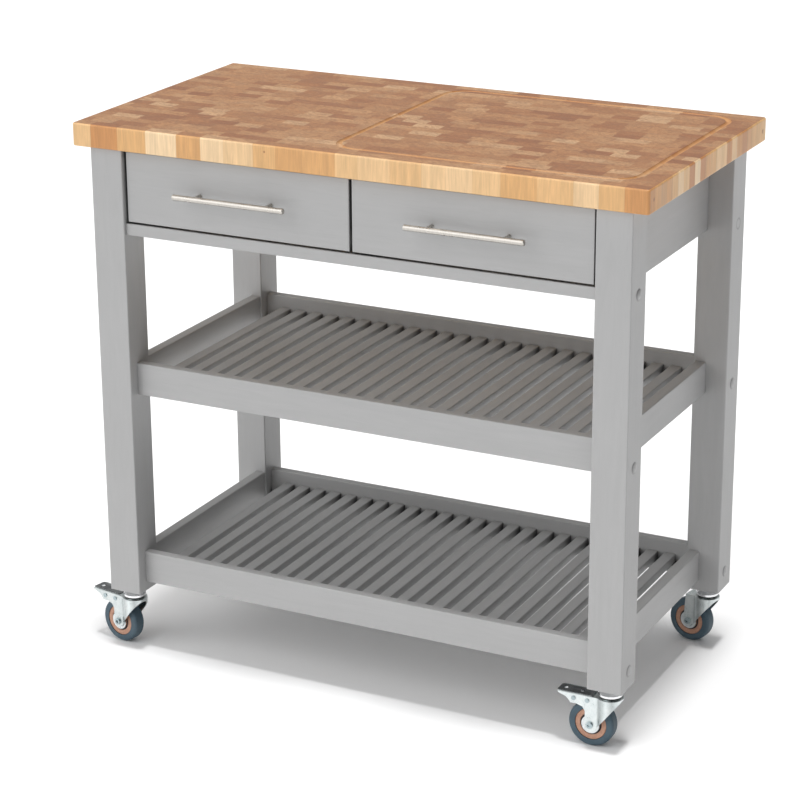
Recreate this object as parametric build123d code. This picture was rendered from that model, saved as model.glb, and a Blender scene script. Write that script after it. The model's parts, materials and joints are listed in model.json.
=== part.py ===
from build123d import *
import math
import os

# A kitchen island cart: a butcher-block worktop on a painted frame with two drawers,
# two slatted shelves and four swivel casters.
# Millimetres. +X is right, -Y is the front, +Z is up. The origin is on the floor,
# at the centre of the worktop's footprint.

# --- overall sizes
TOTAL_H = 914.4
TOP_W = 986.0
TOP_D = 508.0
TOP_T = 38.0
TOP_CORNER_R = 5.0
TOP_EDGE_R = 3.5
TOP_UNDER_R = 2.5

# --- legs
LEG = 58.0
LEG_EDGE_R = 2.0
LEG_Z0 = 106.4
LEG_INSET_X = 27.5
LEG_INSET_Y = 9.0

# --- juice groove, a rounded loop on the right half of the worktop
GROOVE_X0 = -45.0
GROOVE_X1 = 451.0
GROOVE_Y0 = -217.0
GROOVE_Y1 = 225.0
GROOVE_CORNER_R = 40.0
GROOVE_BALL_R = 5.0
GROOVE_LIFT = 1.5

# --- aprons, drawer rail and divider
BOARD_T = 16.0
BOARD_EDGE_R = 1.5
APRON_H = 141.3
DRAWER_RAIL_D = 45.0
DRAWER_RAIL_H = 19.4
DRAWER_RAIL_RECESS = 6.0
DRAWER_RAIL_Z0 = 734.7

# --- shelves
RAIL_H = 55.0
RAIL_EDGE_R = 2.0
SIDE_RAIL_T = 19.0
SIDE_RAIL_SETBACK = 3.0
SHELF_TOPS = {"lower": 177.2, "upper": 512.8}
SLAT_COUNT = 24
SLAT_W = 20.0
SLAT_T = 15.0
SLAT_PITCH = 32.2
SLAT_DROP = 22.0
SLAT_EDGE_R = 1.5
CLEAT_W = 16.0
CLEAT_H = 12.0
CLEAT_END_GAP = 8.0

# --- bolts through the legs into the rails
BOLT_UP = 14.5
BOLT_R = 3.0
BOLT_HOLE_R = 3.3
BOLT_HEAD_R = 6.5
BOLT_HEAD_T = 3.5
COUNTERBORE_R = 7.0
COUNTERBORE_D = 6.0
BOLT_REACH = 36.0
NUT_BACK = 26.0
NUT_R = 5.0
NUT_L = 13.0
NUT_HOLE_R = 5.1
NUT_HOLE_D = 14.5
CAP_R = 9.0
CAP_RISE = 3.0
CAP_SPIGOT_L = 2.0

# --- drawers
FRONT_Z0 = 757.1
FRONT_Z1 = 872.9
FRONT_T = 18.0
FRONT_RECESS = 7.0
FRONT_GAP_LEG = 4.0
FRONT_GAP_MIDDLE = 2.5
GLIDE_SPACE = 12.5
BOX_L = 370.0
BOX_Z0 = 762.0
BOX_H = 85.0
BOX_SIDE_T = 12.0
BOX_BOTTOM_T = 6.0
BOX_BOTTOM_UP = 8.0
GLIDE_L = 340.0
GLIDE_BAR_T = 9.0
GLIDE_BAR_H = 28.0
CHANNEL_T = 2.0
CHANNEL_GAP = 2.0
CHANNEL_LIP_GAP = 2.5
GLIDE_Z = 806.0

# --- handles
BAR_R = 4.75
BAR_L = 199.0
POST_R = 3.0
POST_PITCH = 128.0
BAR_STANDOFF = 25.0
SCREW_R = 2.0
SCREW_HOLE_R = 2.2
SCREW_HEAD_R = 4.0
SCREW_HEAD_T = 2.5
SCREW_GRIP = 8.0

# --- brackets that hold the worktop
BRACKET_W = 30.0
BRACKET_LEG = 22.0
BRACKET_T = 2.5
WOOD_SCREW_R = 2.0
WOOD_SCREW_L = 12.0
WOOD_SCREW_HEAD_R = 3.5
WOOD_SCREW_HEAD_T = 2.0

# --- casters; the wheel trails the swivel axis by TRAIL
TRAIL = 28.0
WHEEL_R = 38.0
TYRE_W = 22.0
TYRE_SHOULDER_R = 5.0
HUB_R = 26.5
HUB_W = 20.0
HUB_GROOVE_R0 = 15.0
HUB_GROOVE_R1 = 18.0
HUB_GROOVE_D = 3.0
AXLE_R = 4.0
RUNNING_GAP = 0.06
AXLE_HEAD_R = 5.3
AXLE_HEAD_T = 3.0
AXLE_SOCKET = 5.0
AXLE_SOCKET_D = 1.8
AXLE_NUT = 13.0
AXLE_NUT_T = 6.5
AXLE_BOLT_PAST = 8.0
GUARD_PLAY = 0.1
GUARD_R = 15.0
GUARD_T = 1.6
CHEEK_IN = 12.5
SHEET_T = 2.5
CHEEK_FOOT_R = 11.0
HEAD_R = 21.0
HEAD_BLEND_R = 9.0
PLATE_Z1 = 86.5
PLATE_END_X = 24.0
BRAKE_CHEEK_X = 83.0
PLAIN_CHEEK_X = 36.5
RIVET_R = 2.5
RIVET_HEAD_R = 3.6
RIVET_HEAD_T = 1.2
PIVOT_X = 33.0
PIVOT_Z = 79.0
STOP_X = 56.0
STEM_R = 6.0
STEM_TOP = 130.0
STEM_BORE_TOP = 131.0
KINGPIN_FLANGE_R = 9.0
KINGPIN_FLANGE_T = 3.0
RACE_R = 19.0
RACE_Z0 = 88.5
RACE_Z1 = 99.5
COLLAR_R = 15.0
BEAD_R0 = 12.0
BEAD_R1 = 17.0
BEAD_RISE = 1.2
PEDAL_HALF_W = 11.9
PEDAL_SHEET_T = 2.0
PEDAL_X0 = 27.0
PEDAL_X1 = 85.5
PEDAL_HOLE_R = 3.2
PEDAL_HOLES_X = (47.0, 74.5)
SHOE_X0 = 55.5
SHOE_X1 = 62.0
SHOE_Z0 = 69.3
# Degrees that each wheel's trail is turned from -X towards the back
CASTER_TURN = {"front_left": 11.0, "front_right": 0.0, "back_left": 8.0, "back_right": 10.0}
BRAKED = ("front_left", "front_right")

# --- places worked out from the sizes
LEG_Z1 = TOTAL_H - TOP_T
LEG_X = TOP_W / 2 - LEG_INSET_X - LEG / 2
LEG_Y = TOP_D / 2 - LEG_INSET_Y - LEG / 2
IN_X = LEG_X - LEG / 2
OUT_X = LEG_X + LEG / 2
IN_Y = LEG_Y - LEG / 2
OUT_Y = LEG_Y + LEG / 2
RAIL_IN_Y = LEG_Y - BOARD_T / 2
RAIL_OUT_Y = LEG_Y + BOARD_T / 2
SIDE_IN_X = IN_X + SIDE_RAIL_SETBACK
SIDE_OUT_X = SIDE_IN_X + SIDE_RAIL_T
APRON_Z0 = LEG_Z1 - APRON_H
DRAWER_RAIL_Y0 = -OUT_Y + DRAWER_RAIL_RECESS
DRAWER_RAIL_Y1 = DRAWER_RAIL_Y0 + DRAWER_RAIL_D
DRAWER_RAIL_Z1 = DRAWER_RAIL_Z0 + DRAWER_RAIL_H
FRONT_Y0 = -OUT_Y + FRONT_RECESS
FRONT_Y1 = FRONT_Y0 + FRONT_T
BOX_X0 = BOARD_T / 2 + GLIDE_SPACE
BOX_X1 = IN_X - GLIDE_SPACE
BOX_Y1 = FRONT_Y1 + BOX_L
HANDLE_X = (FRONT_GAP_MIDDLE + IN_X - FRONT_GAP_LEG) / 2
HANDLE_Z = (FRONT_Z0 + FRONT_Z1) / 2
GLIDE_Y0 = FRONT_Y1 + 12.0
CHEEK_OUT = CHEEK_IN + SHEET_T
PLATE_Z0 = PLATE_Z1 - SHEET_T
LEG_PLACES = {
    "front_left": (-1, -1),
    "front_right": (1, -1),
    "back_left": (-1, 1),
    "back_right": (1, 1),
}
SHELF_BOLT_Z = [top - RAIL_H + BOLT_UP for top in SHELF_TOPS.values()]
DRAWER_BOLT_Z = DRAWER_RAIL_Z0 + DRAWER_RAIL_H / 2
BRACKET_PLACES = {
    "left": [(-IN_X, -120.0, 0), (-IN_X, 120.0, 0)],
    "right": [(IN_X, -120.0, 180), (IN_X, 120.0, 180)],
    "back": [(-200.0, RAIL_IN_Y, -90), (200.0, RAIL_IN_Y, -90)],
}


def block(x0, x1, y0, y1, z0, z1):
    """A box given by its two corners."""
    centre = Pos((x0 + x1) / 2, (y0 + y1) / 2, (z0 + z1) / 2)
    return centre * Box(x1 - x0, y1 - y0, z1 - z0)


def board(x0, x1, y0, y1, z0, z1, along, radius=BOARD_EDGE_R):
    """A wooden board with its long edges eased."""
    shape = block(x0, x1, y0, y1, z0, z1)
    return fillet(shape.edges().filter_by(along), radius)


def rod(radius, start, end):
    """A round bar between two points."""
    a = Vector(*start)
    b = Vector(*end)
    plane = Plane(origin=a, z_dir=(b - a).normalized())
    return plane * Cylinder(radius, (b - a).length, align=(Align.CENTER, Align.CENTER, Align.MIN))


def hexagon_prism(across_flats, z0, z1):
    """A hexagonal nut or collar on the Z axis."""
    face = Pos(0, 0, z0) * RegularPolygon(across_flats / 2, 6, major_radius=False)
    return extrude(face, z1 - z0)


def turned(points, axis=Axis.Z):
    """A turned part from (radius, height) points on the XZ plane."""
    profile = make_face(Polyline(*[(r, 0, h) for r, h in points], close=True))
    return revolve(profile, axis)


def group(solids):
    """Separate solids that share one node."""
    return Compound(children=list(solids))


def rounded_loop(x0, x1, y0, y1, radius, z):
    """A closed rounded-rectangle path at height z."""
    face = Pos((x0 + x1) / 2, (y0 + y1) / 2, z) * RectangleRounded(x1 - x0, y1 - y0, radius)
    return face.faces()[0].outer_wire()


def both_sides(shape):
    """The right-hand shape and its mirror image on the left."""
    return {"right": shape, "left": mirror(shape, about=Plane.YZ)}


# ------------------------------------------------------------------ worktop and frame


def worktop():
    """The butcher-block slab with its juice groove and screw holes."""
    slab = block(-TOP_W / 2, TOP_W / 2, -TOP_D / 2, TOP_D / 2, LEG_Z1, TOTAL_H)
    slab = fillet(slab.edges().filter_by(Axis.Z), TOP_CORNER_R)
    slab = fillet(slab.faces().sort_by(Axis.Z)[-1].edges(), TOP_EDGE_R)
    slab = fillet(slab.faces().sort_by(Axis.Z)[0].edges(), TOP_UNDER_R)
    centre_z = TOTAL_H + GROOVE_LIFT
    loop = rounded_loop(GROOVE_X0, GROOVE_X1, GROOVE_Y0, GROOVE_Y1, GROOVE_CORNER_R, centre_z)
    start = Plane(origin=loop @ 0, z_dir=loop % 0)
    slab -= sweep(start * Circle(GROOVE_BALL_R), path=loop)
    for hole in bracket_screws(SCREW_HOLE_R, up=True):
        slab -= hole
    return slab


def leg(side, depth):
    """One leg, with its stem bore and counterbored bolt holes."""
    x = side * LEG_X
    y = depth * LEG_Y
    shape = block(x - LEG / 2, x + LEG / 2, y - LEG / 2, y + LEG / 2, LEG_Z0, LEG_Z1)
    shape = fillet(shape.edges().filter_by(Axis.Z), LEG_EDGE_R)
    shape -= rod(STEM_R + RUNNING_GAP, (x, y, LEG_Z0), (x, y, STEM_BORE_TOP))
    for z in bolt_heights(depth):
        outer = side * OUT_X
        shape -= rod(BOLT_HOLE_R, (side * IN_X, y, z), (outer, y, z))
        shape -= rod(COUNTERBORE_R, (outer - side * COUNTERBORE_D, y, z), (outer, y, z))
    return shape


def bolt_heights(depth):
    """Front legs also hold the drawer rail."""
    return SHELF_BOLT_Z + ([DRAWER_BOLT_Z] if depth < 0 else [])


def bolt_points():
    """Side, depth and height of each frame bolt."""
    return [
        (side, depth, z) for side, depth in LEG_PLACES.values() for z in bolt_heights(depth)
    ]


def side_apron(side):
    """An upright board under the worktop between the front and back legs."""
    x0, x1 = sorted((side * IN_X, side * (IN_X + BOARD_T)))
    shape = board(x0, x1, -IN_Y, IN_Y, APRON_Z0, LEG_Z1, Axis.Y)
    for hole in bracket_screws(SCREW_HOLE_R, up=False):
        shape -= hole
    return shape


def back_apron():
    """The upright board between the back legs."""
    shape = board(-IN_X, IN_X, RAIL_IN_Y, RAIL_OUT_Y, APRON_Z0, LEG_Z1, Axis.X)
    for hole in bracket_screws(SCREW_HOLE_R, up=False):
        shape -= hole
    return shape


def drawer_rail():
    """The flat rail under the drawer fronts."""
    y0 = DRAWER_RAIL_Y0
    y1 = DRAWER_RAIL_Y1
    shape = board(-IN_X, IN_X, y0, y1, DRAWER_RAIL_Z0, DRAWER_RAIL_Z1, Axis.X)
    for side in (-1, 1):
        end = side * IN_X
        shape -= rod(BOLT_HOLE_R, (end, -LEG_Y, DRAWER_BOLT_Z), (end - side * 40, -LEG_Y, DRAWER_BOLT_Z))
        nut_x = end - side * NUT_BACK
        top = (nut_x, -LEG_Y, DRAWER_RAIL_Z0 + NUT_HOLE_D + 2)
        shape -= rod(NUT_HOLE_R, (nut_x, -LEG_Y, DRAWER_RAIL_Z0), top)
    return shape


def drawer_divider():
    """The partition between the drawers, which carries the inner glides."""
    half = BOARD_T / 2
    return board(-half, half, DRAWER_RAIL_Y1, RAIL_IN_Y, APRON_Z0 + 6, LEG_Z1, Axis.Y, 1.0)


def shelf_rail(depth, top):
    """A front or back shelf rail, drilled for its bolts and barrel nuts."""
    y = depth * LEG_Y
    bottom = top - RAIL_H
    z = bottom + BOLT_UP
    half = BOARD_T / 2
    shape = board(-IN_X, IN_X, y - half, y + half, bottom, top, Axis.X, RAIL_EDGE_R)
    for side in (-1, 1):
        end = side * IN_X
        nut_x = end - side * NUT_BACK
        inner = y - depth * half
        shape -= rod(BOLT_HOLE_R, (end, y, z), (end - side * 40, y, z))
        shape -= rod(NUT_HOLE_R, (nut_x, inner, z), (nut_x, inner + depth * NUT_HOLE_D, z))
    return shape


def shelf_side_rail(side, top):
    """A shelf rail between the front and back legs."""
    x0, x1 = sorted((side * SIDE_IN_X, side * SIDE_OUT_X))
    return board(x0, x1, -IN_Y, IN_Y, top - RAIL_H, top, Axis.Y, RAIL_EDGE_R)


def shelf_slats(top):
    """Slats from front to back, evenly spaced and centred."""
    z1 = top - SLAT_DROP
    first = -SLAT_PITCH * (SLAT_COUNT - 1) / 2
    slats = []
    for i in range(SLAT_COUNT):
        x = first + i * SLAT_PITCH
        half = SLAT_W / 2
        slat = block(x - half, x + half, -RAIL_IN_Y, RAIL_IN_Y, z1 - SLAT_T, z1)
        slats.append(fillet(slat.edges().filter_by(Axis.Y), SLAT_EDGE_R))
    return group(slats)


def shelf_cleats():
    """The four battens that the slat ends rest on."""
    cleats = []
    for top in SHELF_TOPS.values():
        z1 = top - SLAT_DROP - SLAT_T
        for depth in (-1, 1):
            y0, y1 = sorted((depth * RAIL_IN_Y, depth * (RAIL_IN_Y - CLEAT_W)))
            end = IN_X - CLEAT_END_GAP
            cleats.append(board(-end, end, y0, y1, z1 - CLEAT_H, z1, Axis.X, 1.0))
    return group(cleats)


# ------------------------------------------------------------------ fasteners


def bolt_caps():
    """Domed button caps over the bolt heads on the legs' outer sides."""
    ball_r = (CAP_R**2 + CAP_RISE**2) / (2 * CAP_RISE)
    cap = rod(CAP_R, (0, 0, 0), (0, 0, CAP_RISE + 1))
    cap = cap & Pos(0, 0, CAP_RISE - ball_r) * Sphere(ball_r)
    cap = cap + rod(COUNTERBORE_R - 0.1, (0, 0, -CAP_SPIGOT_L), (0, 0, 0.5))
    return group(
        Pos(side * OUT_X, depth * LEG_Y, z) * Rot(0, side * 90, 0) * cap
        for side, depth, z in bolt_points()
    )


def frame_bolts():
    """Machine bolts through the legs, each with the barrel nut it pulls on."""
    parts = []
    for side, depth, z in bolt_points():
        y = depth * LEG_Y
        seat = side * (OUT_X - COUNTERBORE_D)
        tip = side * (IN_X - BOLT_REACH)
        bolt = rod(BOLT_R, (seat, y, z), (tip, y, z))
        bolt += rod(BOLT_HEAD_R, (seat, y, z), (seat + side * BOLT_HEAD_T, y, z))
        parts.append(bolt)
        nut_x = side * (IN_X - NUT_BACK)
        if z == DRAWER_BOLT_Z:
            nut = rod(NUT_R, (nut_x, y, z - NUT_L / 2), (nut_x, y, z + NUT_L / 2))
        else:
            nut = rod(NUT_R, (nut_x, y - NUT_L / 2, z), (nut_x, y + NUT_L / 2, z))
        hole = rod(BOLT_R + 0.1, (nut_x - 10, y, z), (nut_x + 10, y, z))
        parts.append(nut - hole)
    return group(parts)


def bracket_at(x, y, turn, shape):
    """Places a bracket part whose wall face is the YZ plane and whose top is at z = 0."""
    return Pos(x, y, LEG_Z1) * Rot(0, 0, turn) * shape


def bracket_screws(radius, up):
    """Round shanks of the bracket screws, into the worktop or into the aprons."""
    middle = BRACKET_LEG * 0.6
    if up:
        shank = rod(radius, (middle, 0, 0), (middle, 0, WOOD_SCREW_L))
    else:
        shank = rod(radius, (0, 0, -middle), (-WOOD_SCREW_L, 0, -middle))
    return [bracket_at(*place, shank) for row in BRACKET_PLACES.values() for place in row]


def top_brackets():
    """Steel angles with two wood screws each."""
    half = BRACKET_W / 2
    middle = BRACKET_LEG * 0.6
    angle = block(0, BRACKET_LEG, -half, half, -BRACKET_T, 0)
    angle += block(0, BRACKET_T, -half, half, -BRACKET_LEG, 0)
    angle = fillet(angle.edges().filter_by(Axis.Y).sort_by_distance((BRACKET_T, 0, -BRACKET_T))[0], 1.5)
    angle -= rod(SCREW_HOLE_R, (middle, 0, -5), (middle, 0, 5))
    angle -= rod(SCREW_HOLE_R, (-5, 0, -middle), (5, 0, -middle))
    seat = -BRACKET_T
    up = rod(WOOD_SCREW_R, (middle, 0, seat), (middle, 0, WOOD_SCREW_L - 1))
    up += rod(WOOD_SCREW_HEAD_R, (middle, 0, seat - WOOD_SCREW_HEAD_T), (middle, 0, seat))
    out = rod(WOOD_SCREW_R, (-seat, 0, -middle), (1 - WOOD_SCREW_L, 0, -middle))
    out += rod(WOOD_SCREW_HEAD_R, (-seat, 0, -middle), (WOOD_SCREW_HEAD_T - seat, 0, -middle))
    places = [place for row in BRACKET_PLACES.values() for place in row]
    return group(bracket_at(*place, shape) for place in places for shape in (angle, up, out))


# ------------------------------------------------------------------ drawers


def drawer_front():
    """The right-hand drawer front, drilled for its handle screws."""
    x0 = FRONT_GAP_MIDDLE
    x1 = IN_X - FRONT_GAP_LEG
    shape = block(x0, x1, FRONT_Y0, FRONT_Y1, FRONT_Z0, FRONT_Z1)
    shape = fillet(shape.faces().sort_by(Axis.Y)[0].edges(), BOARD_EDGE_R)
    for x in post_places():
        shape -= rod(SCREW_HOLE_R, (x, FRONT_Y0, HANDLE_Z), (x, FRONT_Y1, HANDLE_Z))
    return shape


def post_places():
    """X of the two handle posts of the right-hand drawer."""
    return [HANDLE_X - POST_PITCH / 2, HANDLE_X + POST_PITCH / 2]


def drawer_sides():
    """Inner and outer side boards of the right-hand drawer box."""
    z1 = BOX_Z0 + BOX_H
    inner = board(BOX_X0, BOX_X0 + BOX_SIDE_T, FRONT_Y1, BOX_Y1, BOX_Z0, z1, Axis.Y, 1.0)
    outer = board(BOX_X1 - BOX_SIDE_T, BOX_X1, FRONT_Y1, BOX_Y1, BOX_Z0, z1, Axis.Y, 1.0)
    return inner, outer


def drawer_back():
    """The board between the sides at the rear of the box."""
    x0 = BOX_X0 + BOX_SIDE_T
    x1 = BOX_X1 - BOX_SIDE_T
    z0 = BOX_Z0 + BOX_BOTTOM_UP + BOX_BOTTOM_T
    return board(x0, x1, BOX_Y1 - BOX_SIDE_T, BOX_Y1, z0, BOX_Z0 + BOX_H - 5, Axis.X, 1.0)


def drawer_bottom():
    """The panel that the contents rest on."""
    x0 = BOX_X0 + BOX_SIDE_T
    x1 = BOX_X1 - BOX_SIDE_T
    z0 = BOX_Z0 + BOX_BOTTOM_UP
    return block(x0, x1, FRONT_Y1, BOX_Y1, z0, z0 + BOX_BOTTOM_T)


def drawer_glides():
    """The two members fixed to the drawer box; they slide in the cabinet's channels."""
    y1 = GLIDE_Y0 + GLIDE_L
    z0 = GLIDE_Z - GLIDE_BAR_H / 2
    z1 = GLIDE_Z + GLIDE_BAR_H / 2
    bars = []
    for x0, x1 in ((BOX_X0 - GLIDE_BAR_T, BOX_X0), (BOX_X1, BOX_X1 + GLIDE_BAR_T)):
        bar = block(x0, x1, GLIDE_Y0, y1, z0, z1)
        bars.append(chamfer(bar.edges().filter_by(Axis.Z), 1.0))
    return group(bars)


def cabinet_glides():
    """Four steel channels on the aprons and on the divider."""
    y1 = GLIDE_Y0 + GLIDE_L
    inner_half = GLIDE_BAR_H / 2 + CHANNEL_GAP
    outer_half = inner_half + CHANNEL_T
    channels = []
    for wall, into in ((IN_X, -1), (BOARD_T / 2, 1), (-BOARD_T / 2, -1), (-IN_X, 1)):
        lip = wall + into * (GLIDE_SPACE - CHANNEL_LIP_GAP)
        web = wall + into * CHANNEL_T
        x0, x1 = sorted((wall, lip))
        shape = block(x0, x1, GLIDE_Y0, y1, GLIDE_Z - outer_half, GLIDE_Z + outer_half)
        x0, x1 = sorted((web, lip + into))
        shape -= block(x0, x1, GLIDE_Y0 - 1, y1 + 1, GLIDE_Z - inner_half, GLIDE_Z + inner_half)
        channels.append(shape)
    return group(channels)


def handle():
    """A round bar pull on two posts, for the right-hand drawer."""
    y = FRONT_Y0 - BAR_STANDOFF
    shape = rod(BAR_R, (HANDLE_X - BAR_L / 2, y, HANDLE_Z), (HANDLE_X + BAR_L / 2, y, HANDLE_Z))
    shape = chamfer(shape.edges().filter_by(GeomType.CIRCLE), 0.8)
    for x in post_places():
        shape += rod(POST_R, (x, y, HANDLE_Z), (x, FRONT_Y0, HANDLE_Z))
        shape -= rod(SCREW_R + 0.1, (x, FRONT_Y0 - SCREW_GRIP - 1, HANDLE_Z), (x, FRONT_Y0, HANDLE_Z))
    return shape


def handle_screws():
    """Two machine screws through the drawer front into the posts."""
    screws = []
    for x in post_places():
        screw = rod(SCREW_R, (x, FRONT_Y0 - SCREW_GRIP, HANDLE_Z), (x, FRONT_Y1, HANDLE_Z))
        head_end = FRONT_Y1 + SCREW_HEAD_T
        screw += rod(SCREW_HEAD_R, (x, FRONT_Y1, HANDLE_Z), (x, head_end, HANDLE_Z))
        screws.append(screw)
    return group(screws)


# ------------------------------------------------------------------ casters
# Each caster is drawn with its swivel axis on Z and its wheel trailing along +X.


def fork_plan(end_x):
    """Outline of the fork from above: a round head that narrows to two cheeks."""
    neck = Pos(end_x / 2, 0) * Rectangle(end_x, 2 * CHEEK_OUT)
    shape = Circle(HEAD_R) + neck
    join_x = math.sqrt(HEAD_R**2 - CHEEK_OUT**2)
    corners = [v for v in shape.vertices() if abs(v.X - join_x) < 0.5]
    return fillet(corners, HEAD_BLEND_R)


def cheek_side(braked):
    """Outline of the cheeks from the side, in X and Z."""
    foot = (TRAIL, WHEEL_R - CHEEK_FOOT_R)
    lead = (TRAIL - 9.0, WHEEL_R - 6.0)
    trail = (PLAIN_CHEEK_X, WHEEL_R - 3.0)
    if braked:
        back = [(PLAIN_CHEEK_X, 60), (41, 67.5), (52, 70.5), (61.5, 70), (65.5, 76), (71, 79.8)]
        back += [(BRAKE_CHEEK_X, PLATE_Z1 - 2.5), (BRAKE_CHEEK_X, PLATE_Z1)]
    else:
        back = [(PLAIN_CHEEK_X - 3.5, PLATE_Z1)]
    front = [(-HEAD_R, PLATE_Z1), (-HEAD_R, PLATE_Z0)]
    edge = Polyline(*[trail, *back, *front, lead])
    arc = ThreePointArc(lead, foot, trail)
    return make_face([edge, arc])


def fork(braked):
    """Pressed-steel fork: a flat top with a round head, and a cheek each side of the wheel."""
    end_x = BRAKE_CHEEK_X if braked else PLAIN_CHEEK_X
    plan = fork_plan(end_x)
    inside = offset(plan, -SHEET_T, kind=Kind.INTERSECTION)
    inside += Pos(end_x, 0) * Rectangle(4 * SHEET_T, 2 * CHEEK_IN)
    walls = extrude(Pos(0, 0, 10) * (plan - inside), PLATE_Z1 - 10)
    side = Plane.XZ * cheek_side(braked)
    walls &= extrude(side, 2 * HEAD_R, both=True)
    plate = extrude(Pos(0, 0, PLATE_Z0) * plan, SHEET_T)
    if braked:
        plate &= block(-2 * HEAD_R, PLATE_END_X, -HEAD_R, HEAD_R, 0, TOTAL_H)
    else:
        plate &= block(-2 * HEAD_R, PLAIN_CHEEK_X - 3.5, -HEAD_R, HEAD_R, 0, TOTAL_H)
    shape = walls + plate
    bead = Cylinder(BEAD_R1, BEAD_RISE) - Cylinder(BEAD_R0, BEAD_RISE)
    shape += Pos(0, 0, PLATE_Z1 + BEAD_RISE / 2) * bead
    shape -= rod(STEM_R + RUNNING_GAP, (0, 0, PLATE_Z0 - 5), (0, 0, PLATE_Z1 + 5))
    wide = HEAD_R + 5
    shape -= rod(AXLE_R + RUNNING_GAP, (TRAIL, -wide, WHEEL_R), (TRAIL, wide, WHEEL_R))
    if braked:
        for x in (PIVOT_X, STOP_X):
            shape -= rod(RIVET_R + RUNNING_GAP, (x, -wide, PIVOT_Z), (x, wide, PIVOT_Z))
    return shape


def axle_set(braked):
    """Axle bolt, nut, two thread guards and, on a braked caster, the rivets."""
    y = CHEEK_OUT
    head_y = y + AXLE_HEAD_T
    bolt = rod(AXLE_R, (TRAIL, -y - AXLE_BOLT_PAST, WHEEL_R), (TRAIL, y, WHEEL_R))
    bolt += rod(AXLE_HEAD_R, (TRAIL, y, WHEEL_R), (TRAIL, head_y, WHEEL_R))
    to_axle = Pos(TRAIL, 0, WHEEL_R) * Rot(90, 0, 0)
    bolt -= to_axle * hexagon_prism(AXLE_SOCKET, -head_y - 1, -head_y + AXLE_SOCKET_D)
    bore = rod(AXLE_R + 0.05, (TRAIL, -60, WHEEL_R), (TRAIL, 60, WHEEL_R))
    parts = [bolt, to_axle * hexagon_prism(AXLE_NUT, y, y + AXLE_NUT_T) - bore]
    guard_y = CHEEK_IN - GUARD_PLAY
    for sign in (-1, 1):
        outer = (TRAIL, sign * guard_y, WHEEL_R)
        inner = (TRAIL, sign * (guard_y - GUARD_T), WHEEL_R)
        parts.append(rod(GUARD_R, inner, outer) - bore)
    if braked:
        parts.append(rivet(PIVOT_X, -CHEEK_OUT, CHEEK_OUT))
        parts.append(rivet(STOP_X, CHEEK_IN, CHEEK_OUT))
        parts.append(rivet(STOP_X, -CHEEK_OUT, -CHEEK_IN))
    return group(parts)


def rivet(x, y0, y1):
    """A rivet along Y with a flat head on each cheek that it meets from outside."""
    shape = rod(RIVET_R, (x, y0, PIVOT_Z), (x, y1, PIVOT_Z))
    if y1 == CHEEK_OUT:
        shape += rod(RIVET_HEAD_R, (x, y1, PIVOT_Z), (x, y1 + RIVET_HEAD_T, PIVOT_Z))
    if y0 == -CHEEK_OUT:
        shape += rod(RIVET_HEAD_R, (x, y0 - RIVET_HEAD_T, PIVOT_Z), (x, y0, PIVOT_Z))
    return shape


def wheel_hub():
    """The rigid wheel centre, with a dark groove round each thread guard."""
    half = HUB_W / 2
    bore = AXLE_R + RUNNING_GAP
    rim_in = HUB_GROOVE_R1 + 1.5
    rim_out = HUB_R - 1.0
    right = [
        (bore, half),
        (HUB_GROOVE_R0, half),
        (HUB_GROOVE_R0, half - HUB_GROOVE_D),
        (HUB_GROOVE_R1, half - HUB_GROOVE_D),
        (HUB_GROOVE_R1, half - 0.5),
        (rim_in, half),
        (rim_out, half),
        (HUB_R, half - 0.7),
    ]
    left = [(r, -h) for r, h in reversed(right)]
    return Pos(TRAIL, 0, WHEEL_R) * Rot(90, 0, 0) * turned(right + left)


def tyre():
    """The solid rubber tyre, rounded at its shoulders."""
    ring = Cylinder(WHEEL_R, TYRE_W) - Cylinder(HUB_R, TYRE_W)
    outer = [e for e in ring.edges().filter_by(GeomType.CIRCLE) if e.radius > HUB_R + 1]
    ring = fillet(outer, TYRE_SHOULDER_R)
    return Pos(TRAIL, 0, WHEEL_R) * Rot(90, 0, 0) * ring


def brake_pedal():
    """A channel-shaped pedal between the cheeks, with a shoe above the tyre."""
    z1 = PLATE_Z1 + 0.5
    z0 = z1 - PEDAL_SHEET_T
    w = PEDAL_HALF_W
    flat = Pos((PEDAL_X0 + PEDAL_X1) / 2, 0) * Rectangle(PEDAL_X1 - PEDAL_X0, 2 * w)
    flat = fillet([v for v in flat.vertices() if v.X > PEDAL_X1 - 0.1], 3.0)
    for x in PEDAL_HOLES_X:
        flat -= Pos(x, 0) * Circle(PEDAL_HOLE_R)
    shape = extrude(Pos(0, 0, z0) * flat, PEDAL_SHEET_T)
    low = PIVOT_Z - 4.0
    web = Polyline(
        (PEDAL_X0, z0 + 1),
        (PEDAL_X0, low),
        (PIVOT_X + 15, low),
        (SHOE_X0 - 2, SHOE_Z0 + 3),
        (SHOE_X1 + 1, SHOE_Z0 + 3),
        (PEDAL_X1 - 8, z0 - 1.5),
        (PEDAL_X1 - 4, z0 + 1),
        close=True,
    )
    web = Plane.XZ * make_face(web)
    for y0 in (-w, w - PEDAL_SHEET_T):
        shape += Pos(0, y0 + PEDAL_SHEET_T, 0) * extrude(web, PEDAL_SHEET_T)
    shape += block(SHOE_X0, SHOE_X1, -w + 1, w - 1, SHOE_Z0, z0 + 1)
    for sign in (-1, 1):
        pin = (PIVOT_X, sign * (w - 3), PIVOT_Z)
        shape -= rod(RIVET_R + RUNNING_GAP, pin, (PIVOT_X, sign * (w + 3), PIVOT_Z))
    return shape


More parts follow.
